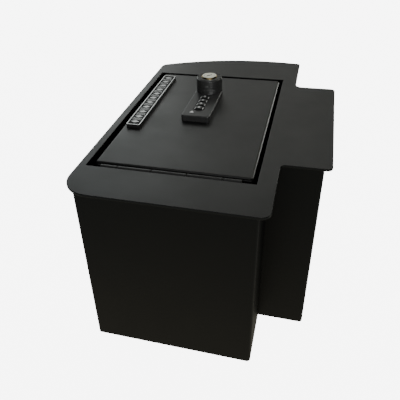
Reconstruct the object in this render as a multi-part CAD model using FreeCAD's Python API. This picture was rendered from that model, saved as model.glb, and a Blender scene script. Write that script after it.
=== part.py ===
import FreeCAD, Part
import math
import os

V = FreeCAD.Vector
UP = V(0, 0, 1)
BACK = V(0, 1, 0)
RIGHT = V(1, 0, 0)

# Plan sizes run from the flange's left and front edges, heights from the underside of the floor.
# Body
SHEET = 2.7
BODY_HEIGHT = 220.6
WALL_BEND = 4.0
FLANGE_WIDTH = 200.0
FLANGE_DEPTH = 387.0
BACK_RADIUS = 307.7
BACK_PEAK_X = 149.1
WING_REACH = 49.8
WING_START = 90.2
WING_LENGTH = 204.0
LEFT_OVERHANG = 4.0
RIGHT_OVERHANG = 11.0
FRONT_OVERHANG = 20.2
BACK_OVERHANG = 49.0
WING_END_OVERHANG = 1.4
WING_SIDE_OVERHANG = 7.6
FRONT_LEFT_ROUND = 30.0
FRONT_RIGHT_ROUND = 9.5
NOTCH_FRONT_ROUND = 5.0
NOTCH_BACK_ROUND = 8.0
WING_ROUND = 6.0
BACK_LEFT_ROUND = 10.0
BACK_RIGHT_ROUND = 4.0
FLOOR_CORNER_CUT = 3.0
BOLT_SPACING_X = 110.0
BOLT_SPACING_Y = 200.0
BOLT_HOLE_RADIUS = 4.25

# Lid opening and lid
OPENING_LEFT = 8.5
OPENING_RIGHT_MARGIN = 18.2
OPENING_FRONT = 50.2
OPENING_BACK_MARGIN = 71.7
LID_LEFT_GAP = 4.6
LID_RIGHT_GAP = 3.6
LID_BACK_GAP = 1.0
LID_DROP = 0.6
LIP_DEPTH = 12.0
LID_BEND = 4.2
LID_CORNER = 4.6

# Hinge
BARREL_RADIUS = 3.5
HINGE_PIN_RADIUS = 1.5
HINGE_LENGTH = 144.0
KNUCKLE_COUNT = 5
KNUCKLE_GAP = 0.8
LEAF = 1.6
BODY_LEAF_DROP = 20.0
RAIL_DROP = 22.7
RAIL_MARGIN = 3.0
RIVET_COUNT = 4
RIVET_RADIUS = 1.2
RIVET_HEAD_RADIUS = 2.2
RIVET_HEAD = 1.0
BODY_RIVET_DROP = 13.0
LID_RIVET_RISE = 2.9

# Strike and bumpers
STRIKE_WIDTH = 90.0
STRIKE_REACH = 15.5
STRIKE_ENGAGE = 7.5
BUMPER = 2.0
BUMPER_LENGTH = 12.0
BUMPER_SPACING = 60.0
BUMPER_BORDER = 0.6

# Lock case and base
LOCK_X = 93.5
KNOB_SETBACK = 67.8
CASE_WIDTH = 34.0
CASE_FRONT = 79.0
CASE_HEIGHT = 7.2
CASE_CORNER = 3.0
CASE_EDGE = 1.2
BASE_SHEET = 1.5
BASE_INSET = 0.5
TRAY_WALL = 1.4
SCREW_RADIUS = 2.0
SCREW_HEAD_RADIUS = 3.5
SCREW_HEAD = 2.4
SCREW_DEPTH = 5.0
SCREW_SIDE = 12.8
FRONT_SCREW_SETBACK = 7.5
REAR_SCREW_SETBACK = 12.5

# Dials and comb
DIAL_COUNT = 4
DIAL_FACES = 10
DIAL_PITCH = 10.6
DIAL_SETBACK = 42.2
WHEEL_RADIUS = 8.5
WHEEL_RISE = 2.55
WHEEL_CLEARANCE = 0.4
AXLE_RADIUS = 1.2
AXLE_SEAT = 4.0
HUB_RADIUS = 2.4
HUB_SHOULDER_RADIUS = 3.0
HUB_FLANGE_RADIUS = 4.6
HUB_FLANGE = 1.0
HUB_END_PLAY = 0.1
TOOTH = 1.0
TOOTH_WIDTH = 2.4
TOOTH_CLEARANCE = 0.3
COMB_WIDTH = 4.0
COMB_HEIGHT = 3.2
COMB_HEADROOM = 0.7
SPRING_WIRE = 0.4
SPRING_LENGTH = 5.0
SPRING_LEG = 4.0
DETENT_PLATE = 0.5
DETENT_ANGLE = 45.0
DETENT_WIDTH = 3.6

# Knob, key cylinder and latch
KNOB_RADIUS = 16.3
KNOB_HEIGHT = 18.0
KNOB_CHAMFER = 1.6
KNOB_LIFT = 0.3
NECK_RADIUS = 6.0
NECK_END_RADIUS = 5.0
NECK_FLAT = 4.2
COLLAR_RADIUS = 8.5
SPIRAL_RADIUS = 10.6
SPIRAL_THICKNESS = 1.9
SPIRAL_DWELL_ANGLE = 40.0
SPIRAL_FALL_ANGLE = 90.0
SPIRAL_LOW_ANGLE = 180.0
CLIP = 0.6
CLIP_RADIUS = 6.6
CLIP_GROOVE = 0.7
CLIP_OPENING = 5.0
HOUSING_RADIUS = 9.0
HOUSING_DEPTH = 14.0
HOUSING_FLOOR = 1.5
HOUSING_RIM_RADIUS = 9.5
HOUSING_RIM = 0.7
CAP_INSET = 0.7
CAP = 0.8
PLUG_RADIUS = 6.3
KEYWAY_LENGTH = 8.0
KEYWAY_WIDTH = 2.0
KEYWAY_ANGLE = 45.0
WAFER_COUNT = 5
WAFER = 1.75
WAFER_LENGTH = 10.6
WAFER_WIDTH = 3.8
WAFER_SET_DEPTH = 2.5
SHAFT_RADIUS = 3.0
TANG_LENGTH = 4.6
TANG_WIDTH = 2.4
TANG_HEIGHT = 1.2
SHAFT_SQUARE = 4.2
CAM_THICKNESS = 2.5
CAM_WIDTH = 14.0
CAM_CORNER = 3.5
CAM_CLEARANCE = 0.4
CAM_WASHER = 0.8
CAM_WASHER_RADIUS = 4.5
STUD_RADIUS = 2.0
CAM_NUT = 3.2
CAM_NUT_WIDTH = 7.0
STUD_TAIL = 0.8

# Badge
BADGE_LEFT_MARGIN = 5.5
BADGE_BACK_MARGIN = 18.7
BADGE_WIDTH = 16.4
BADGE_LENGTH = 155.5
BADGE_HEIGHT = 4.2
BADGE_BORDER = 1.2
BADGE_RECESS = 1.4
BADGE_INSERT = 0.8
BADGE_CORNER = 1.5
BADGE_STUD_RADIUS = 1.5
BADGE_STUD_INSET = 20.0
BADGE_STUD_DROP = 2.5
BADGE_CLIP = 1.0
BADGE_CLIP_RADIUS = 4.5

# Clearances
RUN = 0.05
SLIP = 0.1
CLEAR = 0.3
SAME_PLACE = 0.001

# Places worked out from the sizes above
OVERALL_WIDTH = FLANGE_WIDTH + WING_REACH
FLANGE_UNDER = BODY_HEIGHT - SHEET
WING_STOP = WING_START + WING_LENGTH
BOX_LEFT = LEFT_OVERHANG
BOX_RIGHT = FLANGE_WIDTH - RIGHT_OVERHANG
BOX_FRONT = FRONT_OVERHANG
BOX_BACK = FLANGE_DEPTH - BACK_OVERHANG
WING_FRONT = WING_START + WING_END_OVERHANG
WING_BACK = WING_STOP - WING_END_OVERHANG
WING_RIGHT = OVERALL_WIDTH - WING_SIDE_OVERHANG
OPENING_RIGHT = FLANGE_WIDTH - OPENING_RIGHT_MARGIN
OPENING_BACK = FLANGE_DEPTH - OPENING_BACK_MARGIN

AXIS_Y = OPENING_FRONT + CLEAR + BARREL_RADIUS
AXIS_Z = BODY_HEIGHT - BARREL_RADIUS
HINGE_START = (OPENING_LEFT + OPENING_RIGHT - HINGE_LENGTH) / 2
LID_LEFT = OPENING_LEFT + LID_LEFT_GAP
LID_RIGHT = OPENING_RIGHT - LID_RIGHT_GAP
LID_FRONT = AXIS_Y + BARREL_RADIUS + CLEAR
LID_BACK = OPENING_BACK - LID_BACK_GAP
KNOB_Y = OPENING_BACK - KNOB_SETBACK
LID_TOP = BODY_HEIGHT - LID_DROP
LID_UNDER = LID_TOP - SHEET
LIP_BOTTOM = LID_TOP - LIP_DEPTH
STRIKE_TOP = LIP_BOTTOM - BUMPER
STRIKE_BOTTOM = STRIKE_TOP - SHEET

CASE_TOP = LID_TOP + CASE_HEIGHT
DIAL_AXIS_Z = CASE_TOP + WHEEL_RISE - WHEEL_RADIUS
DIAL_GAP = 2 * TOOTH + HUB_FLANGE + 4 * TOOTH_CLEARANCE
WHEEL_WIDTH = DIAL_PITCH - DIAL_GAP
COMB_TRAVEL = TOOTH + HUB_FLANGE + 2 * TOOTH_CLEARANCE
FIRST_DIAL_Y = KNOB_Y - DIAL_SETBACK - (DIAL_COUNT - 1) / 2 * DIAL_PITCH
DIAL_CENTRES = [FIRST_DIAL_Y + i * DIAL_PITCH for i in range(DIAL_COUNT)]
ZONE_FRONT = DIAL_CENTRES[0] - WHEEL_WIDTH / 2 - WHEEL_CLEARANCE
ZONE_BACK = DIAL_CENTRES[-1] + WHEEL_WIDTH / 2 + DIAL_GAP + SLIP
ZONE_HALF = WHEEL_RADIUS + 2 * WHEEL_CLEARANCE + DETENT_PLATE
CASE_START = KNOB_Y - CASE_FRONT
BASE_UNDER = LID_UNDER - BASE_SHEET
COMB_TOP = DIAL_AXIS_Z - WHEEL_RADIUS - COMB_HEADROOM
COMB_BOTTOM = COMB_TOP - COMB_HEIGHT
TRAY_BOTTOM = COMB_BOTTOM - TRAY_WALL
COMB_START = ZONE_FRONT + SPRING_LENGTH
COMB_END = KNOB_Y - SPIRAL_RADIUS - CLEAR
TRAY_ROUND = SPIRAL_RADIUS + 2 * CLEAR
SCREW_PLACES = [(LOCK_X + side * SCREW_SIDE, y) for side in (-1, 1)
                for y in (CASE_START + FRONT_SCREW_SETBACK, KNOB_Y - REAR_SCREW_SETBACK)]

KNOB_BOTTOM = CASE_TOP + KNOB_LIFT
KNOB_TOP = KNOB_BOTTOM + KNOB_HEIGHT
COLLAR_TOP = BASE_UNDER - SLIP
SPIRAL_BOTTOM = COMB_TOP - SPIRAL_THICKNESS
NECK_BOTTOM = SPIRAL_BOTTOM - CLIP - CLEAR
PLUG_BOTTOM = KNOB_TOP - HOUSING_DEPTH + HOUSING_FLOOR
FACE_TOP = KNOB_TOP + HOUSING_RIM + CAP
CAM_TOP = STRIKE_BOTTOM - CAM_CLEARANCE
CAM_BOTTOM = CAM_TOP - CAM_THICKNESS
CAM_LENGTH = OPENING_BACK - STRIKE_REACH + STRIKE_ENGAGE - KNOB_Y
KNOB_AXIS = V(LOCK_X, KNOB_Y, 0)
BADGE_X = LID_LEFT + BADGE_LEFT_MARGIN
BADGE_Y = LID_BACK - BADGE_BACK_MARGIN - BADGE_LENGTH


def box(x0, x1, y0, y1, z0, z1):
    return Part.makeBox(x1 - x0, y1 - y0, z1 - z0, V(x0, y0, z0))


def post(x, y, radius, z0, z1):
    return Part.makeCylinder(radius, z1 - z0, V(x, y, z0), UP)


def knob_post(radius, z0, z1):
    return post(LOCK_X, KNOB_Y, radius, z0, z1)


def bar_x(radius, x0, x1, y, z):
    return Part.makeCylinder(radius, x1 - x0, V(x0, y, z), RIGHT)


def bar_y(radius, y0, y1, x, z):
    return Part.makeCylinder(radius, y1 - y0, V(x, y0, z), BACK)


def joined(shapes):
    return shapes[0].multiFuse(shapes[1:]).removeSplitter()


def prism(points, z0, z1):
    corners = [V(x, y, z0) for x, y in points]
    return Part.Face(Part.makePolygon(corners + corners[:1])).extrude(UP * (z1 - z0))


def upright_edge(shape, x, y):
    """The vertical edge of a shape that stands at a point of the plan."""
    for edge in shape.Edges:
        ends = [v.Point for v in edge.Vertexes]
        if len(ends) == 2 and all(math.hypot(p.x - x, p.y - y) < SAME_PLACE for p in ends):
            return edge
    raise ValueError("no upright edge at %.2f, %.2f" % (x, y))


def rounded(shape, corners):
    """Round upright corners, each given as x, y and radius."""
    for x, y, radius in corners:
        shape = shape.makeFillet(radius, [upright_edge(shape, x, y)])
    return shape


def edges_at_height(shape, z):
    return [e for e in shape.Edges if all(abs(v.Z - z) < SAME_PLACE for v in e.Vertexes)]


def bent_wall(outer, inner, z1):
    """A folded sheet wall from its outer and inner corner lines, which run the same way."""
    wall = prism(outer + inner[::-1], 0, z1)
    bends = [(x, y, WALL_BEND) for x, y in outer[1:-1]]
    folds = [(x, y, WALL_BEND - SHEET) for x, y in inner[1:-1]]
    return rounded(wall, bends + folds)


# Body

def top_flange():
    fall = BACK_RADIUS - FLANGE_DEPTH
    left_back = math.sqrt(BACK_RADIUS ** 2 - BACK_PEAK_X ** 2) - fall
    right_back = math.sqrt(BACK_RADIUS ** 2 - (FLANGE_WIDTH - BACK_PEAK_X) ** 2) - fall
    points = [
        (0, left_back), (0, 0), (FLANGE_WIDTH, 0), (FLANGE_WIDTH, WING_START), (OVERALL_WIDTH, WING_START),
        (OVERALL_WIDTH, WING_STOP), (FLANGE_WIDTH, WING_STOP), (FLANGE_WIDTH, right_back),
    ]
    corners = [V(x, y, FLANGE_UNDER) for x, y in points]
    edges = [Part.makeLine(a, b) for a, b in zip(corners, corners[1:])]
    peak = V(BACK_PEAK_X, FLANGE_DEPTH, FLANGE_UNDER)
    edges.append(Part.Arc(corners[-1], peak, corners[0]).toShape())
    plate = Part.Face(Part.Wire(edges)).extrude(UP * SHEET)
    plate = rounded(plate, [
        (0, left_back, BACK_LEFT_ROUND), (0, 0, FRONT_LEFT_ROUND), (FLANGE_WIDTH, 0, FRONT_RIGHT_ROUND),
        (FLANGE_WIDTH, WING_START, NOTCH_FRONT_ROUND), (OVERALL_WIDTH, WING_START, WING_ROUND),
        (OVERALL_WIDTH, WING_STOP, WING_ROUND), (FLANGE_WIDTH, WING_STOP, NOTCH_BACK_ROUND),
        (FLANGE_WIDTH, right_back, BACK_RIGHT_ROUND),
    ])
    opening = box(OPENING_LEFT, OPENING_RIGHT, OPENING_FRONT, OPENING_BACK, FLANGE_UNDER, BODY_HEIGHT)
    return plate.cut(opening)


def front_shell():
    t = SHEET
    outer = [(BOX_RIGHT, WING_FRONT), (BOX_RIGHT, BOX_FRONT), (BOX_LEFT, BOX_FRONT), (BOX_LEFT, BOX_BACK)]
    inner = [(BOX_RIGHT - t, WING_FRONT), (BOX_RIGHT - t, BOX_FRONT + t),
             (BOX_LEFT + t, BOX_FRONT + t), (BOX_LEFT + t, BOX_BACK)]
    return bent_wall(outer, inner, FLANGE_UNDER)


def rear_shell():
    t = SHEET
    outer = [(BOX_LEFT + t, BOX_BACK), (BOX_RIGHT, BOX_BACK), (BOX_RIGHT, WING_BACK)]
    inner = [(BOX_LEFT + t, BOX_BACK - t), (BOX_RIGHT - t, BOX_BACK - t), (BOX_RIGHT - t, WING_BACK)]
    return bent_wall(outer, inner, FLANGE_UNDER)


def wing_shell():
    t = SHEET
    start = BOX_RIGHT - t
    outer = [(start, WING_FRONT), (WING_RIGHT, WING_FRONT), (WING_RIGHT, WING_BACK), (start, WING_BACK)]
    inner = [(start, WING_FRONT + t), (WING_RIGHT - t, WING_FRONT + t),
             (WING_RIGHT - t, WING_BACK - t), (start, WING_BACK - t)]
    return bent_wall(outer, inner, FLANGE_UNDER)


def floor_plate():
    """Bottom plate set between the walls, with its outer corners cut clear of the bends."""
    t = SHEET
    c = FLOOR_CORNER_CUT
    left, right, wing = BOX_LEFT + t, BOX_RIGHT - t, WING_RIGHT - t
    front, back = BOX_FRONT + t, BOX_BACK - t
    wing_front, wing_back = WING_FRONT + t, WING_BACK - t
    plate = prism([
        (left, front + c), (left + c, front), (right - c, front), (right, front + c), (right, wing_front),
        (wing - c, wing_front), (wing, wing_front + c), (wing, wing_back - c), (wing - c, wing_back),
        (right, wing_back), (right, back - c), (right - c, back), (left + c, back), (left, back - c),
    ], 0, t)
    centre_x, centre_y = (left + right) / 2, (front + back) / 2
    bolt_x = [centre_x - BOLT_SPACING_X / 2, centre_x + BOLT_SPACING_X / 2]
    bolt_y = [centre_y - BOLT_SPACING_Y / 2, centre_y + BOLT_SPACING_Y / 2]
    return plate.cut([post(x, y, BOLT_HOLE_RADIUS, 0, t) for x in bolt_x for y in bolt_y])


# Hinge

def knuckle_spans():
    """Start and end of each knuckle, with half-length knuckles at both ends."""
    half = HINGE_LENGTH / (2 * (KNUCKLE_COUNT - 1))
    bounds = [HINGE_START] + [HINGE_START + half * (2 * i + 1) for i in range(KNUCKLE_COUNT - 1)]
    bounds.append(HINGE_START + HINGE_LENGTH)
    return list(zip(bounds, bounds[1:]))


def rivet_places():
    pitch = HINGE_LENGTH / RIVET_COUNT
    return [HINGE_START + (i + 0.5) * pitch for i in range(RIVET_COUNT)]


def hinge_leaf(y0, y1, z0, own, other, rivet_z):
    """A leaf with its knuckles, cut back round the knuckles of the other leaf and drilled for its rivets."""
    end = HINGE_START + HINGE_LENGTH
    play = KNUCKLE_GAP / 2
    plate = box(HINGE_START, end, y0, y1, z0, AXIS_Z)
    barrels = []
    for x0, x1 in own:
        left = x0 if x0 == HINGE_START else x0 + play
        right = x1 if x1 == end else x1 - play
        barrels.append(bar_x(BARREL_RADIUS, left, right, AXIS_Y, AXIS_Z))
    reach = BARREL_RADIUS + KNUCKLE_GAP
    recesses = [bar_x(reach, x0 - play, x1 + play, AXIS_Y, AXIS_Z) for x0, x1 in other]
    recesses.append(bar_x(HINGE_PIN_RADIUS + RUN, HINGE_START, end, AXIS_Y, AXIS_Z))
    recesses += [bar_y(RIVET_RADIUS + SLIP, y0, y1, x, rivet_z) for x in rivet_places()]
    return joined([plate] + barrels).cut(recesses)


def rivets(y0, y1, z):
    """Rivets through a leaf and what it is fixed to, with a head on each face."""
    solids = []
    for x in rivet_places():
        shank = bar_y(RIVET_RADIUS, y0, y1, x, z)
        heads = [bar_y(RIVET_HEAD_RADIUS, y0 - RIVET_HEAD, y0, x, z),
                 bar_y(RIVET_HEAD_RADIUS, y1, y1 + RIVET_HEAD, x, z)]
        solids.append(joined([shank] + heads))
    return Part.Compound(solids)


def hinge_rail():
    start, end = HINGE_START - RAIL_MARGIN, HINGE_START + HINGE_LENGTH + RAIL_MARGIN
    strip = box(start, end, OPENING_FRONT - SHEET, OPENING_FRONT, BODY_HEIGHT - RAIL_DROP, FLANGE_UNDER)
    z = BODY_HEIGHT - BODY_RIVET_DROP
    holes = [bar_y(RIVET_RADIUS + SLIP, OPENING_FRONT - SHEET, OPENING_FRONT, x, z) for x in rivet_places()]
    return strip.cut(holes)


def hinge_pieces():
    spans = knuckle_spans()
    body_spans, lid_spans = spans[0::2], spans[1::2]
    body_y1 = OPENING_FRONT + LEAF
    body_z = BODY_HEIGHT - BODY_RIVET_DROP
    lid_y0 = LID_FRONT - LEAF
    lid_z = LIP_BOTTOM + LID_RIVET_RISE
    body_bottom = BODY_HEIGHT - BODY_LEAF_DROP
    return {
        "hinge_body_leaf": hinge_leaf(OPENING_FRONT, body_y1, body_bottom, body_spans, lid_spans, body_z),
        "hinge_lid_leaf": hinge_leaf(lid_y0, LID_FRONT, LIP_BOTTOM, lid_spans, body_spans, lid_z),
        "hinge_pin": bar_x(HINGE_PIN_RADIUS, HINGE_START, HINGE_START + HINGE_LENGTH, AXIS_Y, AXIS_Z),
        "hinge_body_rivets": rivets(OPENING_FRONT - SHEET, body_y1, body_z),
        "hinge_lid_rivets": rivets(lid_y0, LID_FRONT + SHEET, lid_z),
    }


# Strike

def strike_ledge():
    x0, x1 = LOCK_X - STRIKE_WIDTH / 2, LOCK_X + STRIKE_WIDTH / 2
    ledge = box(x0, x1, OPENING_BACK - STRIKE_REACH, OPENING_BACK + SHEET, STRIKE_BOTTOM, STRIKE_TOP)
    upright = box(x0, x1, OPENING_BACK, OPENING_BACK + SHEET, STRIKE_BOTTOM, FLANGE_UNDER)
    return joined([ledge, upright])


def lid_bumpers():
    pads = []
    for side in (-1, 1):
        x = LOCK_X + side * BUMPER_SPACING / 2
        pads.append(box(x - BUMPER_LENGTH / 2, x + BUMPER_LENGTH / 2, LID_BACK - SHEET - BUMPER_BORDER,
                        LID_BACK + BUMPER_BORDER, STRIKE_TOP, LIP_BOTTOM))
    return Part.Compound(pads)


# Lid

def lock_passages(z0, z1):
    """Slot for the dials, neck hole and screw holes, cut through each layer under the lock case."""
    slot = box(LOCK_X - ZONE_HALF, LOCK_X + ZONE_HALF, ZONE_FRONT, ZONE_BACK, z0, z1)
    neck = knob_post(NECK_RADIUS + CLEAR, z0, z1)
    screws = [post(x, y, SCREW_RADIUS + CLEAR, z0, z1) for x, y in SCREW_PLACES]
    return [slot, neck] + screws


def badge_stud_places():
    x = BADGE_X + BADGE_WIDTH / 2
    return [(x, BADGE_Y + BADGE_STUD_INSET), (x, BADGE_Y + BADGE_LENGTH - BADGE_STUD_INSET)]


def lid_block(inset, top):
    """Block of the lid's plan, or an inset of it."""
    return box(LID_LEFT + inset, LID_RIGHT - inset, LID_FRONT + inset, LID_BACK - inset, LIP_BOTTOM, top)


def lid_panel():
    pan = lid_block(0, LID_TOP)
    pan = rounded(pan, [(x, y, LID_CORNER) for x in (LID_LEFT, LID_RIGHT) for y in (LID_FRONT, LID_BACK)])
    pan = pan.makeFillet(LID_BEND, edges_at_height(pan, LID_TOP))
    t = SHEET
    hollow = lid_block(t, LID_UNDER)
    rivet_z = LIP_BOTTOM + LID_RIVET_RISE
    holes = [bar_y(RIVET_RADIUS + SLIP, LID_FRONT, LID_FRONT + t, x, rivet_z) for x in rivet_places()]
    holes += [post(x, y, BADGE_STUD_RADIUS + SLIP, LID_UNDER, LID_TOP) for x, y in badge_stud_places()]
    return pan.cut([hollow] + holes + lock_passages(LID_UNDER, LID_TOP))


def badge_plate():
    x0, x1 = BADGE_X, BADGE_X + BADGE_WIDTH
    y0, y1 = BADGE_Y, BADGE_Y + BADGE_LENGTH
    top = LID_TOP + BADGE_HEIGHT
    plate = box(x0, x1, y0, y1, LID_TOP, top)
    plate = rounded(plate, [(x, y, BADGE_CORNER) for x in (x0, x1) for y in (y0, y1)])
    b = BADGE_BORDER
    field = box(x0 + b, x1 - b, y0 + b, y1 - b, top - BADGE_RECESS, top)
    stud_end = LID_UNDER - BADGE_STUD_DROP
    studs = [post(x, y, BADGE_STUD_RADIUS, stud_end, LID_TOP) for x, y in badge_stud_places()]
    return joined([plate.cut(field)] + studs)


def badge_insert():
    g = BADGE_BORDER + SLIP
    z0 = LID_TOP + BADGE_HEIGHT - BADGE_RECESS
    return box(BADGE_X + g, BADGE_X + BADGE_WIDTH - g, BADGE_Y + g, BADGE_Y + BADGE_LENGTH - g,
               z0, z0 + BADGE_INSERT)


def badge_clips():
    clips = []
    for x, y in badge_stud_places():
        clip = post(x, y, BADGE_CLIP_RADIUS, LID_UNDER - BADGE_CLIP, LID_UNDER)
        clips.append(clip.cut(post(x, y, BADGE_STUD_RADIUS + RUN, LID_UNDER - BADGE_CLIP, LID_UNDER)))
    return Part.Compound(clips)


# Lock case and base

def lock_block(inset, z0, z1):
    """Block with the lock's plan: a straight front and a round end about the knob."""
    half = CASE_WIDTH / 2 - inset
    front = box(LOCK_X - half, LOCK_X + half, CASE_START + inset, KNOB_Y, z0, z1)
    front = rounded(front, [(LOCK_X + side * half, CASE_START + inset, CASE_CORNER) for side in (-1, 1)])
    return joined([front, knob_post(half, z0, z1)])


def lock_case():
    case = lock_block(0, LID_TOP, CASE_TOP)
    case = case.makeFillet(CASE_EDGE, edges_at_height(case, CASE_TOP))
    reach = WHEEL_WIDTH / 2 + WHEEL_CLEARANCE
    cuts = [bar_y(WHEEL_RADIUS + WHEEL_CLEARANCE, y - reach, y + reach, LOCK_X, DIAL_AXIS_Z)
            for y in DIAL_CENTRES]
    cuts.append(bar_y(HUB_FLANGE_RADIUS + CLEAR, ZONE_FRONT, ZONE_BACK, LOCK_X, DIAL_AXIS_Z))
    seat = AXLE_RADIUS + RUN
    cuts.append(bar_y(seat, ZONE_FRONT - AXLE_SEAT, ZONE_BACK + AXLE_SEAT, LOCK_X, DIAL_AXIS_Z))
    cuts.append(box(LOCK_X - seat, LOCK_X + seat, ZONE_FRONT - AXLE_SEAT, ZONE_BACK + AXLE_SEAT,
                    LID_TOP, DIAL_AXIS_Z))
    cuts.append(knob_post(NECK_RADIUS + RUN, LID_TOP, CASE_TOP))
    cuts += [post(x, y, SCREW_RADIUS + RUN, LID_TOP, LID_TOP + SCREW_DEPTH + CLEAR) for x, y in SCREW_PLACES]
    return case.cut(cuts)


def tray_block(wall, z0, z1):
    """Plan of the lock's tray: dial well, comb channel and round end, grown by a wall."""
    half = ZONE_HALF + wall
    channel = COMB_WIDTH / 2 + SLIP + wall
    well = box(LOCK_X - half, LOCK_X + half, ZONE_FRONT - wall, ZONE_BACK + wall, z0, z1)
    passage = box(LOCK_X - channel, LOCK_X + channel, ZONE_BACK, KNOB_Y, z0, z1)
    return joined([well, passage, knob_post(TRAY_ROUND + wall, z0, z1)])


def lock_base():
    mount = lock_block(BASE_INSET, BASE_UNDER, LID_UNDER)
    tray = tray_block(TRAY_WALL, TRAY_BOTTOM, BASE_UNDER)
    boss = knob_post(SHAFT_RADIUS + CLEAR + TRAY_WALL, CAM_TOP + CLEAR, TRAY_BOTTOM)
    hollow = tray_block(0, COMB_BOTTOM, BASE_UNDER)
    bore = knob_post(SHAFT_RADIUS + RUN, CAM_TOP + CLEAR, COMB_BOTTOM)
    return joined([mount, tray, boss]).cut([hollow, bore] + lock_passages(BASE_UNDER, LID_UNDER))


def lock_screws():
    screws = []
    for x, y in SCREW_PLACES:
        head = post(x, y, SCREW_HEAD_RADIUS, BASE_UNDER - SCREW_HEAD, BASE_UNDER)
        shank = post(x, y, SCREW_RADIUS, BASE_UNDER, LID_TOP + SCREW_DEPTH)
        screws.append(joined([head, shank]))
    return Part.Compound(screws)


# Dials

def dial_axle():
    reach = AXLE_SEAT - SLIP
    return bar_y(AXLE_RADIUS, ZONE_FRONT - reach, ZONE_BACK + reach, LOCK_X, DIAL_AXIS_Z)


def dial_wheel(y):
    """Number wheel with flat faces, one of them level at the top."""
    step = 2 * math.pi / DIAL_FACES
    corners = []
    for i in range(DIAL_FACES):
        angle = (i + 0.5) * step
        x = LOCK_X + WHEEL_RADIUS * math.sin(angle)
        z = DIAL_AXIS_Z + WHEEL_RADIUS * math.cos(angle)
        corners.append(V(x, y - WHEEL_WIDTH / 2, z))
    wheel = Part.Face(Part.makePolygon(corners + corners[:1])).extrude(BACK * WHEEL_WIDTH)
    return wheel.cut(bar_y(HUB_RADIUS + RUN, y - WHEEL_WIDTH / 2, y + WHEEL_WIDTH / 2, LOCK_X, DIAL_AXIS_Z))


def dial_hub(y):
    """Hub behind a wheel, whose flange has the notch that the comb's tooth passes."""
    start = y - WHEEL_WIDTH / 2
    shoulder = y + WHEEL_WIDTH / 2
    flange = shoulder + TOOTH + 2 * TOOTH_CLEARANCE
    tube = bar_y(HUB_RADIUS, start, start + DIAL_PITCH - HUB_END_PLAY, LOCK_X, DIAL_AXIS_Z)
    step = bar_y(HUB_SHOULDER_RADIUS, shoulder, flange, LOCK_X, DIAL_AXIS_Z)
    disc = bar_y(HUB_FLANGE_RADIUS, flange, flange + HUB_FLANGE, LOCK_X, DIAL_AXIS_Z)
    half = TOOTH_WIDTH / 2 + TOOTH_CLEARANCE
    notch = box(LOCK_X - half, LOCK_X + half, flange, flange + HUB_FLANGE,
                DIAL_AXIS_Z - HUB_FLANGE_RADIUS, DIAL_AXIS_Z - HUB_SHOULDER_RADIUS)
    bore = bar_y(AXLE_RADIUS + RUN, start, start + DIAL_PITCH, LOCK_X, DIAL_AXIS_Z)
    return joined([tube, step, disc]).cut([notch, bore])


def locking_comb():
    """Slide with one tooth for each hub, pushed forward by the drive cam at rest."""
    half = COMB_WIDTH / 2
    bar = box(LOCK_X - half, LOCK_X + half, COMB_START, COMB_END, COMB_BOTTOM, COMB_TOP)
    tooth_half = TOOTH_WIDTH / 2
    tip = DIAL_AXIS_Z - HUB_SHOULDER_RADIUS - TOOTH_CLEARANCE
    teeth = []
    for y in DIAL_CENTRES:
        start = y + WHEEL_WIDTH / 2 + TOOTH_CLEARANCE
        teeth.append(box(LOCK_X - tooth_half, LOCK_X + tooth_half, start, start + TOOTH, COMB_TOP, tip))
    return joined([bar] + teeth)


def comb_spring():
    """Bow spring folded between the tray's front wall and the comb."""
    half_leg = SPRING_LEG / 2
    w = SPRING_WIRE
    outer_r = SPRING_LENGTH / 2
    x0, x1 = LOCK_X - half_leg, LOCK_X + half_leg
    z0, z1 = COMB_BOTTOM, COMB_TOP
    mid = ZONE_FRONT + outer_r
    bow = post(x1, mid, outer_r, z0, z1).cut(post(x1, mid, outer_r - w, z0, z1))
    bow = bow.common(box(x1, x1 + outer_r, ZONE_FRONT, COMB_START, z0, z1))
    front_leg = box(x0, x1, ZONE_FRONT, ZONE_FRONT + w, z0, z1)
    back_leg = box(x0, x1, COMB_START - w, COMB_START, z0, z1)
    return joined([front_leg, bow, back_leg])


def detent_spring():
    """Leaf along the tray's side wall with one finger pointing at each wheel."""
    wall = LOCK_X - ZONE_HALF
    face = wall + DETENT_PLATE
    leaf = box(wall, face, ZONE_FRONT, ZONE_BACK, COMB_BOTTOM, BASE_UNDER)
    angle = math.radians(DETENT_ANGLE)
    tip = WHEEL_RADIUS + CLEAR
    root = (LOCK_X - wall) / math.sin(angle)
    fingers = []
    for y in DIAL_CENTRES:
        corner = V(-DETENT_PLATE / 2, y - DETENT_WIDTH / 2, tip)
        finger = Part.makeBox(DETENT_PLATE, DETENT_WIDTH, root - tip, corner)
        finger.rotate(V(0, 0, 0), BACK, 180 + DETENT_ANGLE)
        finger.translate(V(LOCK_X, 0, DIAL_AXIS_Z))
        fingers.append(finger)
    inside = box(wall, LOCK_X, ZONE_FRONT, ZONE_BACK, COMB_BOTTOM, BASE_UNDER)
    return joined([leaf] + fingers).common(inside)


# Knob and key cylinder

def flatted_post(radius, flat, z0, z1):
    """Upright bar on the knob's axis with two flats."""
    sides = box(LOCK_X - flat, LOCK_X + flat, KNOB_Y - radius, KNOB_Y + radius, z0, z1)
    return knob_post(radius, z0, z1).common(sides)


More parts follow.
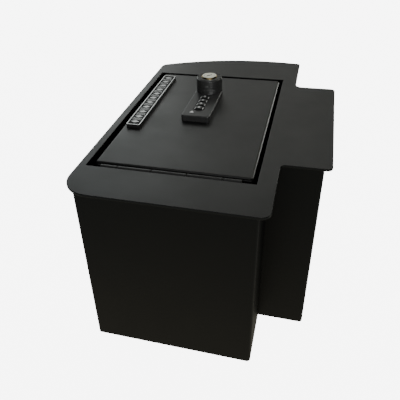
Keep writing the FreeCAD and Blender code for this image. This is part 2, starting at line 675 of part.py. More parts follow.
def knob():
    grip = knob_post(KNOB_RADIUS, KNOB_BOTTOM, KNOB_TOP)
    grip = grip.makeChamfer(KNOB_CHAMFER, edges_at_height(grip, KNOB_TOP))
    neck = knob_post(NECK_RADIUS, COLLAR_TOP, KNOB_BOTTOM)
    end = flatted_post(NECK_END_RADIUS, NECK_FLAT, NECK_BOTTOM, COLLAR_TOP)
    groove = knob_post(NECK_END_RADIUS, SPIRAL_BOTTOM - CLIP, SPIRAL_BOTTOM)
    groove = groove.cut(knob_post(NECK_FLAT - CLIP_GROOVE, SPIRAL_BOTTOM - CLIP, SPIRAL_BOTTOM))
    recess = knob_post(HOUSING_RADIUS + RUN, KNOB_TOP - HOUSING_DEPTH, KNOB_TOP)
    bore = knob_post(SHAFT_RADIUS + RUN, NECK_BOTTOM, KNOB_TOP)
    return joined([grip, neck, end]).cut([groove, recess, bore])


def drive_cam():
    """Cam on the knob's neck: its radius falls by the comb's travel over a quarter turn."""
    high = SPIRAL_RADIUS
    low = SPIRAL_RADIUS - COMB_TRAVEL
    dwell = -SPIRAL_DWELL_ANGLE
    fall = SPIRAL_FALL_ANGLE
    end = SPIRAL_FALL_ANGLE + SPIRAL_LOW_ANGLE

    def rim(degrees, radius):
        """Point of the rim at an angle from the comb's side."""
        a = math.radians(degrees)
        return KNOB_AXIS + V(radius * math.sin(a), -radius * math.cos(a), SPIRAL_BOTTOM)

    edges = [
        Part.Arc(rim(dwell, high), rim(dwell / 2, high), rim(0, high)).toShape(),
        Part.Arc(rim(0, high), rim(fall / 2, (high + low) / 2), rim(fall, low)).toShape(),
        Part.Arc(rim(fall, low), rim((fall + end) / 2, low), rim(end, low)).toShape(),
        Part.makeLine(rim(end, low), rim(dwell, high)),
    ]
    spiral = Part.Face(Part.Wire(edges)).extrude(UP * SPIRAL_THICKNESS)
    collar = knob_post(COLLAR_RADIUS, COMB_TOP, COLLAR_TOP)
    bore = flatted_post(NECK_END_RADIUS + RUN, NECK_FLAT + RUN, SPIRAL_BOTTOM, COLLAR_TOP)
    return joined([spiral, collar]).cut(bore)


def neck_clip():
    z0 = SPIRAL_BOTTOM - CLIP
    ring = knob_post(CLIP_RADIUS, z0, SPIRAL_BOTTOM)
    hole = knob_post(NECK_FLAT - CLIP_GROOVE + RUN, z0, SPIRAL_BOTTOM)
    half = CLIP_OPENING / 2
    mouth = box(LOCK_X - half, LOCK_X + half, KNOB_Y, KNOB_Y + CLIP_RADIUS, z0, SPIRAL_BOTTOM)
    return ring.cut([hole, mouth])


def cylinder_housing():
    body = knob_post(HOUSING_RADIUS, KNOB_TOP - HOUSING_DEPTH, KNOB_TOP)
    rim = knob_post(HOUSING_RIM_RADIUS, KNOB_TOP, KNOB_TOP + HOUSING_RIM)
    plug_bore = knob_post(PLUG_RADIUS + RUN, PLUG_BOTTOM, KNOB_TOP + HOUSING_RIM)
    shaft_bore = knob_post(SHAFT_RADIUS + CLEAR, KNOB_TOP - HOUSING_DEPTH, PLUG_BOTTOM)
    return joined([body, rim]).cut([plug_bore, shaft_bore])


def cylinder_cap():
    ring = knob_post(HOUSING_RIM_RADIUS - CAP_INSET, KNOB_TOP + HOUSING_RIM, FACE_TOP)
    return ring.cut(knob_post(PLUG_RADIUS + CLEAR, KNOB_TOP + HOUSING_RIM, FACE_TOP))


def knob_bar(length, width, z0, z1):
    """Bar across the knob's axis, turned to the keyway's angle."""
    bar = box(LOCK_X - length / 2, LOCK_X + length / 2, KNOB_Y - width / 2, KNOB_Y + width / 2, z0, z1)
    bar.rotate(KNOB_AXIS, UP, KEYWAY_ANGLE)
    return bar


def key_plug():
    """Plug with its keyway, the chamber that the wafers slide in and a slot for the shaft's tang."""
    chamber_top = FACE_TOP - WAFER_SET_DEPTH
    chamber_bottom = chamber_top - WAFER_COUNT * (WAFER + SLIP)
    keyway = knob_bar(KEYWAY_LENGTH, KEYWAY_WIDTH, chamber_top, FACE_TOP)
    chamber = knob_bar(WAFER_LENGTH + 2 * SLIP, WAFER_WIDTH + 2 * SLIP, chamber_bottom, chamber_top)
    tang_top = PLUG_BOTTOM + TANG_HEIGHT + SLIP
    tang_slot = knob_bar(TANG_LENGTH + 2 * SLIP, TANG_WIDTH + 2 * SLIP, PLUG_BOTTOM, tang_top)
    return knob_post(PLUG_RADIUS, PLUG_BOTTOM, FACE_TOP).cut([keyway, chamber, tang_slot])


def wafers():
    plates = []
    for i in range(WAFER_COUNT):
        z1 = FACE_TOP - WAFER_SET_DEPTH - SLIP - i * (WAFER + SLIP)
        plate = knob_bar(WAFER_LENGTH, WAFER_WIDTH, z1 - WAFER, z1)
        plates.append(plate.cut(knob_bar(KEYWAY_LENGTH, KEYWAY_WIDTH, z1 - WAFER, z1)))
    return Part.Compound(plates)


def tail_shaft():
    tang = knob_bar(TANG_LENGTH, TANG_WIDTH, PLUG_BOTTOM, PLUG_BOTTOM + TANG_HEIGHT)
    rod = knob_post(SHAFT_RADIUS, CAM_TOP, PLUG_BOTTOM)
    half = SHAFT_SQUARE / 2
    square = box(LOCK_X - half, LOCK_X + half, KNOB_Y - half, KNOB_Y + half, CAM_BOTTOM, CAM_TOP)
    stud_end = CAM_BOTTOM - CAM_WASHER - CAM_NUT - STUD_TAIL
    stud = knob_post(STUD_RADIUS, stud_end, CAM_BOTTOM)
    return joined([tang, rod, square, stud])


def latch_cam():
    """Latch bar, pointing left at rest and backward under the strike when locked."""
    half = CAM_WIDTH / 2
    bar = box(LOCK_X - CAM_LENGTH, LOCK_X, KNOB_Y - half, KNOB_Y + half, CAM_BOTTOM, CAM_TOP)
    bar = rounded(bar, [(LOCK_X - CAM_LENGTH, KNOB_Y + side * half, CAM_CORNER) for side in (-1, 1)])
    eye = knob_post(half, CAM_BOTTOM, CAM_TOP)
    s = SHAFT_SQUARE / 2 + RUN
    hole = box(LOCK_X - s, LOCK_X + s, KNOB_Y - s, KNOB_Y + s, CAM_BOTTOM, CAM_TOP)
    return joined([bar, eye]).cut(hole)


def cam_washer():
    z0 = CAM_BOTTOM - CAM_WASHER
    return knob_post(CAM_WASHER_RADIUS, z0, CAM_BOTTOM).cut(knob_post(STUD_RADIUS + SLIP, z0, CAM_BOTTOM))


def cam_nut():
    z1 = CAM_BOTTOM - CAM_WASHER
    z0 = z1 - CAM_NUT
    reach = CAM_NUT_WIDTH / math.sqrt(3)
    angles = [math.radians(60 * i) for i in range(6)]
    points = [(LOCK_X + reach * math.cos(a), KNOB_Y + reach * math.sin(a)) for a in angles]
    return prism(points, z0, z1).cut(knob_post(STUD_RADIUS + RUN, z0, z1))


def pieces():
    made = {
        "top_flange": top_flange(),
        "front_shell": front_shell(),
        "rear_shell": rear_shell(),
        "wing_shell": wing_shell(),
        "floor_plate": floor_plate(),
        "hinge_rail": hinge_rail(),
        "strike_ledge": strike_ledge(),
        "lid_bumpers": lid_bumpers(),
        "lid_panel": lid_panel(),
        "badge_plate": badge_plate(),
        "badge_insert": badge_insert(),
        "badge_clips": badge_clips(),
        "lock_case": lock_case(),
        "lock_base": lock_base(),
        "lock_screws": lock_screws(),
        "dial_axle": dial_axle(),
        "locking_comb": locking_comb(),
        "comb_spring": comb_spring(),
        "detent_spring": detent_spring(),
        "knob": knob(),
        "drive_cam": drive_cam(),
        "neck_clip": neck_clip(),
        "cylinder_housing": cylinder_housing(),
        "cylinder_cap": cylinder_cap(),
        "key_plug": key_plug(),
        "wafers": wafers(),
        "tail_shaft": tail_shaft(),
        "latch_cam": latch_cam(),
        "cam_washer": cam_washer(),
        "cam_nut": cam_nut(),
    }
    made.update(hinge_pieces())
    for number, y in enumerate(DIAL_CENTRES, start=1):
        made["dial_wheel_%d" % number] = dial_wheel(y)
        made["dial_hub_%d" % number] = dial_hub(y)
    return made


os.makedirs("parts", exist_ok=True)
TO_CENTRE = V(-OVERALL_WIDTH / 2, -FLANGE_DEPTH / 2, 0)
for name, shape in pieces().items():
    shape.translate(TO_CENTRE)
    shape.exportStep("parts/%s.step" % name)
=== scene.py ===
import math

import bmesh
import bpy
from mathutils import Matrix, Vector


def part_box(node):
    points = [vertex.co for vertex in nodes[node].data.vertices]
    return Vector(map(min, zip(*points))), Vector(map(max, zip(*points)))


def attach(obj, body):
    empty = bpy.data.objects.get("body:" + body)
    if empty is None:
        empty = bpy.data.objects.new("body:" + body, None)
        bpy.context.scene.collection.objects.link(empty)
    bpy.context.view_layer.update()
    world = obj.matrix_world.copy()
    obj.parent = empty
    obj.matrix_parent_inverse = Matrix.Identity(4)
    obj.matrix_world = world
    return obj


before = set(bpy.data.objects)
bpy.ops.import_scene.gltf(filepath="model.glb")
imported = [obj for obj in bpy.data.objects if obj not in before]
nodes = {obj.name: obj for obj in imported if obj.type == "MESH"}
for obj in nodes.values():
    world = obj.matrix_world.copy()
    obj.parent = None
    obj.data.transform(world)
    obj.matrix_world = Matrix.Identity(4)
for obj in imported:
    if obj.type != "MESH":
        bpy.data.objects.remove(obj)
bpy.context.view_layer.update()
MM = 0.001

# Camera, solved from the straight edges of the photo
CAMERA_PLACE = (0.09467, -0.51826, 0.46802)
CAMERA_AZIMUTH = 16.709
CAMERA_ELEVATION = 34.018
CAMERA_ROLL = -2.596
CAMERA_LENS = 43.13
CAMERA_SENSOR = 36.0
CAMERA_SHIFT_X = 0.05
CAMERA_SHIFT_Y = -0.025

# Dial numbers
DIAL_COUNT = 4
DIAL_FACES = 10
DIGIT_SIZE = 5.4 * MM
DIGIT_WEIGHT = 0.1 * MM
DIGIT_DEPTH = 0.06 * MM
SAME_POINT = 0.001 * MM

# Badge ornament
GROUP_COUNT = 11
GROUP_BARS = 3
BAR_WIDTH = 1.2 * MM
BAR_PITCH = 2.3 * MM
LOZENGE_LENGTH = 6.2 * MM
SIDE_MARGIN = 1.4 * MM
ORNAMENT_HEIGHT = 0.55 * MM
ORNAMENT_BEVEL = 0.2 * MM
SHARPEST_CORNER = 0.2

# Index mark on the lock case
INDEX_OFFSET = Vector((-6.2 * MM, -9.8 * MM, 0.0))
INDEX_LENGTH = 4.4 * MM
INDEX_WIDTH = 5.0 * MM
INDEX_HEIGHT = 0.5 * MM

# Noise in the finishes
NOISE_LOW = 0.3
NOISE_HIGH = 0.7
PATCH_DETAIL = 4.0
GRAIN_DETAIL = 3.0
GRAIN_DEPTH = 0.04 * MM

# Upright share of the surface's direction, on a bend and on a flat top
BEND_UPRIGHT = 0.85
FLAT_UPRIGHT = 0.98

# Rounding of plain edges
WELD_DISTANCE = 0.01 * MM
PLANAR_ANGLE = math.radians(1.0)
EDGE_ANGLE = math.radians(40.0)
EDGE_SEGMENTS = 2


# Materials

def new_material(name, specular, metallic=0.0):
    material = bpy.data.materials.new(name)
    material.use_nodes = True
    shader = material.node_tree.nodes["Principled BSDF"]
    shader.inputs["Specular IOR Level"].default_value = specular
    shader.inputs["Metallic"].default_value = metallic
    return material, material.node_tree, shader


def noise(tree, scale, detail, stretch=(1.0, 1.0, 1.0)):
    """Noise fixed to the object, stretched along an axis where a scale is below one."""
    place = tree.nodes.new("ShaderNodeTexCoord")
    mapping = tree.nodes.new("ShaderNodeMapping")
    mapping.inputs["Scale"].default_value = stretch
    texture = tree.nodes.new("ShaderNodeTexNoise")
    texture.inputs["Scale"].default_value = scale
    texture.inputs["Detail"].default_value = detail
    tree.links.new(place.outputs["Object"], mapping.inputs["Vector"])
    tree.links.new(mapping.outputs["Vector"], texture.inputs["Vector"])
    return texture.outputs["Fac"]


def spread(tree, value, low, high):
    """Noise turned into a range of values."""
    ranged = tree.nodes.new("ShaderNodeMapRange")
    ranged.inputs["From Min"].default_value = NOISE_LOW
    ranged.inputs["From Max"].default_value = NOISE_HIGH
    ranged.inputs["To Min"].default_value = low
    ranged.inputs["To Max"].default_value = high
    tree.links.new(value, ranged.inputs["Value"])
    return ranged.outputs["Result"]


def shades(tree, value, dark, light):
    """Noise turned into a range of colours."""
    ramp = tree.nodes.new("ShaderNodeValToRGB")
    ends = ramp.color_ramp.elements
    ends[0].position, ends[1].position = NOISE_LOW, NOISE_HIGH
    ends[0].color, ends[1].color = (*dark, 1.0), (*light, 1.0)
    tree.links.new(value, ramp.inputs["Fac"])
    return ramp.outputs["Color"]


def bump(tree, shader, value, depth, strength):
    relief = tree.nodes.new("ShaderNodeBump")
    relief.inputs["Strength"].default_value = strength
    relief.inputs["Distance"].default_value = depth
    tree.links.new(value, relief.inputs["Height"])
    tree.links.new(relief.outputs["Normal"], shader.inputs["Normal"])


def worn_edges(tree, rough, share):
    """Roughness brought down to a share of itself on the bends and sides of a top."""
    place = tree.nodes.new("ShaderNodeTexCoord")
    axes = tree.nodes.new("ShaderNodeSeparateXYZ")
    tree.links.new(place.outputs["Normal"], axes.inputs["Vector"])
    flat = tree.nodes.new("ShaderNodeMapRange")
    flat.inputs["From Min"].default_value = BEND_UPRIGHT
    flat.inputs["From Max"].default_value = FLAT_UPRIGHT
    flat.inputs["To Min"].default_value = share
    tree.links.new(axes.outputs["Z"], flat.inputs["Value"])
    product = tree.nodes.new("ShaderNodeMath")
    product.operation = "MULTIPLY"
    tree.links.new(rough, product.inputs[0])
    tree.links.new(flat.outputs["Result"], product.inputs[1])
    return product.outputs["Value"]


def textured(name, dark, light, rough, specular, metallic=0.0, patch=25.0, grain=900.0,
             depth=GRAIN_DEPTH, strength=0.3, stretch=(1.0, 1.0, 1.0), edge_share=1.0):
    """Surface with cloudy colour and roughness and a fine raised grain."""
    material, tree, shader = new_material(name, specular, metallic)
    patches = noise(tree, patch, PATCH_DETAIL, stretch)
    tree.links.new(shades(tree, patches, dark, light), shader.inputs["Base Color"])
    roughness = spread(tree, patches, *rough)
    if edge_share < 1.0:
        roughness = worn_edges(tree, roughness, edge_share)
    tree.links.new(roughness, shader.inputs["Roughness"])
    bump(tree, shader, noise(tree, grain, GRAIN_DETAIL, stretch), depth, strength)
    return material


def grey(value):
    return (value, value, value)


top_coat = textured("top_coat", (0.007, 0.0072, 0.0072), (0.010, 0.0103, 0.0102), (0.38, 0.45), 0.5,
                    edge_share=0.5)
# Painted shade: a darker copy of the black powder coat of top_coat, for the walls, inner parts and hinge pin
# that sit in shade
shaded_wall_coat = textured("shaded_wall_coat", (0.006, 0.006, 0.006), (0.009, 0.009, 0.0088), (0.42, 0.5), 0.4)
lock_coat = textured("lock_coat", grey(0.022), grey(0.028), (0.36, 0.44), 0.4, patch=90.0, grain=1600.0,
                     strength=0.15, edge_share=0.5)
knob_coat = textured("knob_coat", grey(0.022), grey(0.030), (0.14, 0.20), 0.5, patch=90.0, grain=220.0,
                     depth=1.0 * MM, strength=1.0, stretch=(0.02, 0.02, 6.0))
# Painted light: a lighter copy of the black coat, so the hinge barrel reads brighter
lit_hinge_coat = textured("lit_hinge_coat", grey(0.032), grey(0.040), (0.36, 0.44), 0.55)
steel = textured("steel", grey(0.42), grey(0.56), (0.28, 0.42), 0.5, 1.0, patch=60.0, grain=700.0,
                 stretch=(1.0, 0.15, 0.15))
rubber = textured("rubber", grey(0.010), grey(0.018), (0.75, 0.9), 0.3, grain=1800.0, strength=0.5)
plastic = textured("plastic", grey(0.008), grey(0.013), (0.28, 0.36), 0.5, grain=2200.0, strength=0.15)
alloy = textured("alloy", grey(0.45), grey(0.6), (0.35, 0.5), 0.5, 1.0, patch=80.0, grain=1500.0)
brass = textured("brass", (0.58, 0.40, 0.15), (0.74, 0.54, 0.24), (0.22, 0.34), 0.5, 1.0, patch=120.0,
                 grain=2500.0, strength=0.15)
# Painted shade: the brass wafers darkened because they are seen only down the dark keyway
shaded_wafer_brass = textured("shaded_wafer_brass", (0.05, 0.04, 0.02), (0.10, 0.08, 0.04), (0.4, 0.5), 0.5, 1.0, patch=200.0,
                      grain=2500.0)
silver = textured("silver", grey(0.29), grey(0.37), (0.26, 0.36), 0.5, 1.0, patch=120.0, grain=1800.0,
                  strength=0.2)
field_coat = textured("field_coat", grey(0.006), grey(0.012), (0.5, 0.6), 0.2, patch=200.0, grain=1400.0)
number_paint = textured("number_paint", grey(0.70), grey(0.80), (0.4, 0.5), 0.5, patch=300.0, grain=3000.0,
                        strength=0.1)


def two_level(name, split_height, lower, upper, rough, lower_metal, patch=120.0, grain=1800.0, strength=0.15):
    """Bright metal above a height of the object and a darker colour below it; on the key plug and cap the
    dark part is painted shade down the keyway.
    """
    material, tree, shader = new_material(name, 0.5)
    place = tree.nodes.new("ShaderNodeTexCoord")
    axes = tree.nodes.new("ShaderNodeSeparateXYZ")
    bright = tree.nodes.new("ShaderNodeMath")
    bright.operation = "GREATER_THAN"
    bright.inputs[1].default_value = split_height
    tree.links.new(place.outputs["Object"], axes.inputs["Vector"])
    tree.links.new(axes.outputs["Z"], bright.inputs[0])
    cloud = noise(tree, patch, PATCH_DETAIL)
    mix = tree.nodes.new("ShaderNodeMix")
    mix.data_type = "RGBA"
    tree.links.new(bright.outputs["Value"], mix.inputs["Factor"])
    tree.links.new(shades(tree, cloud, *lower), mix.inputs["A"])
    tree.links.new(shades(tree, cloud, *upper), mix.inputs["B"])
    tree.links.new(mix.outputs["Result"], shader.inputs["Base Color"])
    if lower_metal:
        shader.inputs["Metallic"].default_value = 1.0
    else:
        tree.links.new(bright.outputs["Value"], shader.inputs["Metallic"])
    tree.links.new(spread(tree, cloud, *rough), shader.inputs["Roughness"])
    bump(tree, shader, noise(tree, grain, GRAIN_DETAIL), GRAIN_DEPTH, strength)
    return material


BADGE_EDGE = 0.3 * MM
FACE_EDGE = 0.25 * MM
badge_metal = two_level("badge_metal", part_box("badge_plate")[1].z - BADGE_EDGE, (grey(0.008), grey(0.014)),
                        (grey(0.46), grey(0.56)), (0.26, 0.36), False)
# Painted shade: below the face edge the key plug and cap turn dark brass, standing for the shade down the
# keyway
chrome_and_keyway_shade = two_level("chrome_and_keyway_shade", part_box("key_plug")[1].z - FACE_EDGE, ((0.05, 0.045, 0.03), (0.09, 0.08, 0.05)),
                   ((0.86, 0.85, 0.74), (0.95, 0.94, 0.84)), (0.32, 0.42), True)

FINISHES = {
    top_coat: ["top_flange", "lid_panel"],
    shaded_wall_coat: ["front_shell", "rear_shell", "wing_shell", "floor_plate", "hinge_rail", "strike_ledge",
                "hinge_pin"],
    lock_coat: ["lock_case", "lock_base"],
    knob_coat: ["knob"],
    lit_hinge_coat: ["hinge_body_leaf", "hinge_lid_leaf"],
    steel: ["hinge_body_rivets", "hinge_lid_rivets", "lock_screws", "dial_axle", "locking_comb",
            "comb_spring", "detent_spring", "neck_clip", "tail_shaft", "latch_cam", "cam_washer", "cam_nut",
            "badge_clips", "drive_cam"],
    rubber: ["lid_bumpers"],
    plastic: ["dial_wheel_%d" % n for n in range(1, DIAL_COUNT + 1)],
    alloy: ["dial_hub_%d" % n for n in range(1, DIAL_COUNT + 1)],
    brass: ["cylinder_housing"],
    shaded_wafer_brass: ["wafers"],
    chrome_and_keyway_shade: ["cylinder_cap", "key_plug"],
    badge_metal: ["badge_plate"],
    field_coat: ["badge_insert"],
}
for material, names in FINISHES.items():
    for name in names:
        slots = nodes[name].data.materials
        slots.clear()
        slots.append(material)


def soften(name, width):
    """Small rounded edges on a plain CAD node, for their highlights."""
    node = nodes[name]
    weld = node.modifiers.new("weld", "WELD")
    weld.merge_threshold = WELD_DISTANCE
    planar = node.modifiers.new("planar", "DECIMATE")
    planar.decimate_type = "DISSOLVE"
    planar.angle_limit = PLANAR_ANGLE
    edge = node.modifiers.new("edge", "BEVEL")
    edge.width = width
    edge.segments = EDGE_SEGMENTS
    edge.limit_method = "ANGLE"
    edge.angle_limit = EDGE_ANGLE
    edge.use_clamp_overlap = True
    node.modifiers.new("shade", "WEIGHTED_NORMAL")


SOFT_EDGES = {"top_flange": 0.5 * MM, "badge_plate": 0.25 * MM}
for name, width in SOFT_EDGES.items():
    soften(name, width)


# Added pieces

def new_piece(name, shape, material, body):
    mesh = bpy.data.meshes.new(name)
    shape.to_mesh(mesh)
    shape.free()
    piece = bpy.data.objects.new(name, mesh)
    bpy.context.scene.collection.objects.link(piece)
    mesh.materials.append(material)
    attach(piece, body)


def digit_mesh(number):
    """Flat number as a thin solid, centred on the origin and facing up."""
    text = bpy.data.curves.new("digit", "FONT")
    text.body = str(number)
    text.size = DIGIT_SIZE
    text.offset = DIGIT_WEIGHT
    text.extrude = DIGIT_DEPTH
    text.align_x = "CENTER"
    text.align_y = "CENTER"
    holder = bpy.data.objects.new("digit", text)
    mesh = bpy.data.meshes.new_from_object(holder)
    bpy.data.objects.remove(holder)
    bpy.data.curves.remove(text)
    return mesh


def dial_digits(number, meshes):
    """The ten numbers of a wheel, each on its own flat face."""
    low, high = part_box("dial_wheel_%d" % number)
    centre = (low + high) / 2
    face = high.z - centre.z
    shape = bmesh.new()
    for i, mesh in enumerate(meshes):
        turn = Matrix.Rotation(2 * math.pi * i / DIAL_FACES, 4, "Y")
        place = Matrix.Translation(centre) @ turn @ Matrix.Translation((0.0, 0.0, face))
        part = bmesh.new()
        part.from_mesh(mesh)
        middle = sum((v.co for v in part.verts), Vector()) / len(part.verts)
        bmesh.ops.translate(part, verts=part.verts, vec=(-middle.x, -middle.y, 0.0))
        bmesh.ops.transform(part, verts=part.verts, matrix=place)
        moved = bpy.data.meshes.new("moved")
        part.to_mesh(moved)
        part.free()
        shape.from_mesh(moved)
        bpy.data.meshes.remove(moved)
    bmesh.ops.remove_doubles(shape, verts=shape.verts, dist=SAME_POINT)
    new_piece("dial_digits_%d" % number, shape, number_paint, "dial_%d" % number)


def inset_outline(points, distance):
    """A convex outline, given anticlockwise, moved inward by a distance."""
    moved = []
    for before, here, after in zip(points[-1:] + points[:-1], points, points[1:] + points[:1]):
        a = (Vector(here) - Vector(before)).normalized()
        b = (Vector(after) - Vector(here)).normalized()
        inward = Vector((-a.y - b.y, a.x + b.x)).normalized()
        corner = max(SHARPEST_CORNER, inward.dot(Vector((-a.y, a.x))))
        moved.append(Vector(here) + inward * distance / corner)
    return moved


def raised(shape, points, bottom, height, bevel):
    """A raised shape with sloped edges, drawn from its convex outline."""
    rings = []
    for z, inset in ((bottom, 0.0), (bottom + height - bevel, 0.0), (bottom + height, bevel)):
        rings.append([shape.verts.new((p.x, p.y, z)) for p in inset_outline(points, inset)])
    for lower, upper in zip(rings, rings[1:]):
        for i in range(len(points)):
            j = (i + 1) % len(points)
            shape.faces.new((lower[i], lower[j], upper[j], upper[i]))
    shape.faces.new(rings[-1])
    shape.faces.new(rings[0][::-1])


def badge_ornament():
    """Lozenges with groups of cross bars between them."""
    low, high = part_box("badge_insert")
    x0, x1 = low.x + SIDE_MARGIN, high.x - SIDE_MARGIN
    x = (x0 + x1) / 2
    pitch = (high.y - low.y) / GROUP_COUNT
    shape = bmesh.new()
    half = LOZENGE_LENGTH / 2
    for i in range(GROUP_COUNT):
        y = low.y + (i + 0.5) * pitch
        lozenge = [(x0, y), (x, y - half), (x1, y), (x, y + half)]
        raised(shape, lozenge, high.z, ORNAMENT_HEIGHT, ORNAMENT_BEVEL)
    for i in range(1, GROUP_COUNT):
        for j in range(GROUP_BARS):
            y0 = low.y + i * pitch + (j - (GROUP_BARS - 1) / 2) * BAR_PITCH - BAR_WIDTH / 2
            y1 = y0 + BAR_WIDTH
            bar = [(x0, y0), (x1, y0), (x1, y1), (x0, y1)]
            raised(shape, bar, high.z, ORNAMENT_HEIGHT, ORNAMENT_BEVEL)
    new_piece("badge_ornament", shape, silver, "lid")


def index_mark():
    """Arrow on the lock case that points at the line of numbers."""
    low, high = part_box("dial_wheel_1")
    centre = (low + high) / 2 + INDEX_OFFSET
    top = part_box("lock_case")[1].z
    half_w, half_l = INDEX_WIDTH / 2, INDEX_LENGTH / 2
    arrow = [(centre.x - half_w, centre.y - half_l), (centre.x + half_w, centre.y - half_l),
             (centre.x, centre.y + half_l)]
    shape = bmesh.new()
    raised(shape, arrow, top, INDEX_HEIGHT, ORNAMENT_BEVEL)
    new_piece("index_mark", shape, number_paint, "lid")


digits = [digit_mesh(n) for n in range(DIAL_FACES)]
for wheel in range(1, DIAL_COUNT + 1):
    dial_digits(wheel, digits)
for mesh in digits:
    bpy.data.meshes.remove(mesh)
badge_ornament()
index_mark()


# Stage, lights and camera

FLOOR_RADIUS = 6.0
FLOOR_RISE = 2.5
FLOOR_SEGMENTS = 64
FLOOR_BEND_STEPS = 10
FLOOR_GLOW = 7.0
BOUNCE_HALF = 5.0
BOUNCE_DROP = 1.0 * MM
BOUNCE_NEAR = (0.31, 0.295, 0.235)
BOUNCE_FAR = (0.205, 0.215, 0.195)
BOUNCE_CENTRE = Vector((-0.05, -0.10, 0.0))
BOUNCE_REACH = 0.55
WORLD_GLOW = 0.01
LIGHT_TARGET = Vector((0.0, 0.0, 0.2))
RAISED = ["lock_case", "knob", "cylinder_housing", "cylinder_cap", "key_plug", "index_mark", "badge_plate"]
RAISED += [kind % n for n in range(1, DIAL_COUNT + 1) for kind in ("dial_wheel_%d", "dial_digits_%d")]


def stage_piece(name, shape, material):
    mesh = bpy.data.meshes.new(name)
    shape.to_mesh(mesh)
    shape.free()
    made = bpy.data.objects.new(name, mesh)
    bpy.context.scene.collection.objects.link(made)
    mesh.materials.append(material)
    return made


def floor():
    """Pale round floor that curves up into a wall, seen by the camera alone."""
    shape = bmesh.new()
    profile = [(FLOOR_RADIUS, 0.0)]
    for i in range(1, FLOOR_BEND_STEPS + 1):
        a = math.pi / 2 * i / FLOOR_BEND_STEPS
        profile.append((FLOOR_RADIUS + FLOOR_RISE * math.sin(a), FLOOR_RISE * (1 - math.cos(a))))
    turns = [2 * math.pi * i / FLOOR_SEGMENTS for i in range(FLOOR_SEGMENTS)]
    rings = [[shape.verts.new((r * math.cos(a), r * math.sin(a), z)) for a in turns] for r, z in profile]
    shape.faces.new(rings[0])
    for lower, upper in zip(rings, rings[1:]):
        for i in range(FLOOR_SEGMENTS):
            j = (i + 1) % FLOOR_SEGMENTS
            shape.faces.new((lower[i], lower[j], upper[j], upper[i]))
    material = textured("floor", grey(0.80), grey(0.82), (0.8, 0.9), 0.1, patch=3.0, grain=400.0)
    shader = material.node_tree.nodes["Principled BSDF"]
    shader.inputs["Emission Color"].default_value = (1.0, 1.0, 1.0, 1.0)
    shader.inputs["Emission Strength"].default_value = FLOOR_GLOW
    made = stage_piece("floor", shape, material)
    made.visible_diffuse = False
    made.visible_glossy = False
    made.visible_transmission = False
    made.visible_shadow = False


def bounce():
    """The floor's light on the object, brighter and warmer close to it."""
    shape = bmesh.new()
    h = BOUNCE_HALF
    shape.faces.new([shape.verts.new((x, y, -BOUNCE_DROP)) for x, y in ((-h, -h), (h, -h), (h, h), (-h, h))])
    material, tree, shader = new_material("floor_bounce", 0.0)
    shader.inputs["Base Color"].default_value = (0.0, 0.0, 0.0, 1.0)
    shader.inputs["Emission Strength"].default_value = 1.0
    place = tree.nodes.new("ShaderNodeTexCoord")
    distance = tree.nodes.new("ShaderNodeVectorMath")
    distance.operation = "DISTANCE"
    distance.inputs[1].default_value = BOUNCE_CENTRE
    tree.links.new(place.outputs["Object"], distance.inputs[0])
    reach = tree.nodes.new("ShaderNodeMapRange")
    reach.inputs["From Max"].default_value = BOUNCE_REACH
    tree.links.new(distance.outputs["Value"], reach.inputs["Value"])
    glow = shades(tree, reach.outputs["Result"], BOUNCE_NEAR, BOUNCE_FAR)
    tree.links.new(glow, shader.inputs["Emission Color"])
    made = stage_piece("floor_bounce", shape, material)
    made.visible_camera = False
    made.visible_shadow = False


def panel(name, place, width, height, radiance, colour):
    """Soft light with an even face of the given brightness, turned to the part."""
    light = bpy.data.lights.new(name, "AREA")
    light.shape = "RECTANGLE"
    light.size = width
    light.size_y = height
    light.energy = radiance * math.pi * width * height
    light.color = colour
    lamp = bpy.data.objects.new(name, light)
    lamp.location = place
    lamp.rotation_mode = "QUATERNION"
    lamp.rotation_quaternion = (LIGHT_TARGET - Vector(place)).to_track_quat("-Z", "Y")
    lamp.visible_camera = False
    bpy.context.scene.collection.objects.link(lamp)
    return lamp


def lock_pieces():
    """The raised pieces on the lid, which the front light is kept to."""
    raised_pieces = bpy.data.collections.new("lock_pieces")
    for name in RAISED:
        raised_pieces.objects.link(bpy.data.objects[name])
    return raised_pieces


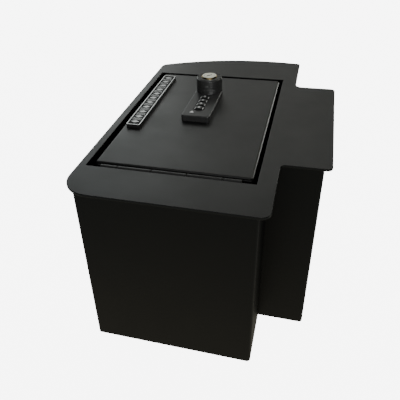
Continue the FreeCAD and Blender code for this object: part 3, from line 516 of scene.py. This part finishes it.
def studio():
    world = bpy.data.worlds.new("studio")
    world.use_nodes = True
    background = world.node_tree.nodes["Background"]
    background.inputs["Color"].default_value = (1.0, 1.0, 1.0, 1.0)
    background.inputs["Strength"].default_value = WORLD_GLOW
    bpy.context.scene.world = world
    panel("left_panel", (-1.22, 1.90, 1.02), 1.08, 1.4, 1.64, (0.94, 1.0, 0.985))
    panel("back_panel", (-0.20, 1.94, 1.61), 1.4, 1.15, 0.82, (0.98, 1.0, 0.94))
    panel("right_panel", (1.00, 1.38, 1.85), 0.98, 0.72, 2.0, (1.0, 1.0, 0.84))
    panel("edge_panel", (1.05, 2.15, 0.70), 0.6, 0.3, 5.0, (1.0, 1.0, 0.95))
    panel("low_panel", (-0.30, 2.30, 0.66), 1.0, 0.25, 0.75, (1.0, 1.0, 0.94))
    panel("top_panel", (0.0, 0.0, 2.4), 1.6, 1.6, 0.5, (1.0, 1.0, 0.98))
    panel("fill_panel", (0.4, -2.1, 1.0), 4.0, 1.4, 0.45, (1.0, 1.0, 0.98))
    front = panel("front_panel", (0.7, -1.97, 1.58), 0.8, 1.0, 15.5, (0.97, 1.0, 0.98))
    front.light_linking.receiver_collection = lock_pieces()


def camera():
    azimuth, elevation, roll = (math.radians(a) for a in (CAMERA_AZIMUTH, CAMERA_ELEVATION, CAMERA_ROLL))
    back = Vector((math.sin(azimuth) * math.cos(elevation), -math.cos(azimuth) * math.cos(elevation),
                   math.sin(elevation)))
    level = Vector((math.cos(azimuth), math.sin(azimuth), 0.0))
    upright = back.cross(level)
    right = math.cos(roll) * level + math.sin(roll) * upright
    up = back.cross(right)
    data = bpy.data.cameras.new("camera")
    data.lens = CAMERA_LENS
    data.sensor_width = CAMERA_SENSOR
    data.shift_x = CAMERA_SHIFT_X
    data.shift_y = CAMERA_SHIFT_Y
    made = bpy.data.objects.new("camera", data)
    made.matrix_world = Matrix.Translation(CAMERA_PLACE) @ Matrix((right, up, back)).transposed().to_4x4()
    bpy.context.scene.collection.objects.link(made)
    bpy.context.scene.camera = made


floor()
bounce()
studio()
camera()
